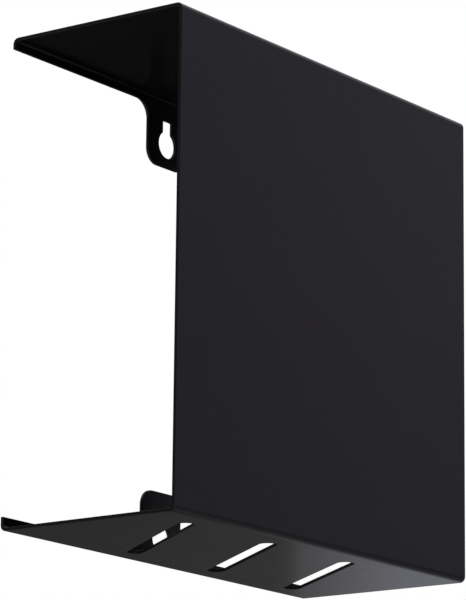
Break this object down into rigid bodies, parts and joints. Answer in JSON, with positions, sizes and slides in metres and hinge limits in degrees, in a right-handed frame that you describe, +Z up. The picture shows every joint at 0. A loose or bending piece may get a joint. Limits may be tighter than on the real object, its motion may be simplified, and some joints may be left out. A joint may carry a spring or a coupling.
{
  "type": "cpu holder",
  "caption": "Wall-mounted holder for a desktop computer: a folded steel sheet channel, open at both ends, with keyholed hanging tabs and diagonal vent slots.",
  "frame": {"origin": "middle of the underside, halfway between the wall and the side panel and halfway between the two open ends", "axes": "+X from the wall to the side panel, +Y from the near open end to the far open end, +Z up"},
  "size_m": [0.127, 0.302, 0.3],
  "materials": {
    "powder_coat": "satin black powder coat with a fine orange-peel texture"
  },
  "bodies": {
    "root": {"side_panel": "powder_coat", "top_panel": "powder_coat", "bottom_panel": "powder_coat", "upper_side_fold": "powder_coat", "lower_side_fold": "powder_coat", "upper_wall_fold": "powder_coat", "lower_wall_fold": "powder_coat", "upper_near_lip": "powder_coat", "upper_far_lip": "powder_coat", "lower_near_lip": "powder_coat", "lower_far_lip": "powder_coat", "upper_keyhole_tab": "powder_coat", "lower_keyhole_tab": "powder_coat"}
  },
  "joints": []
}
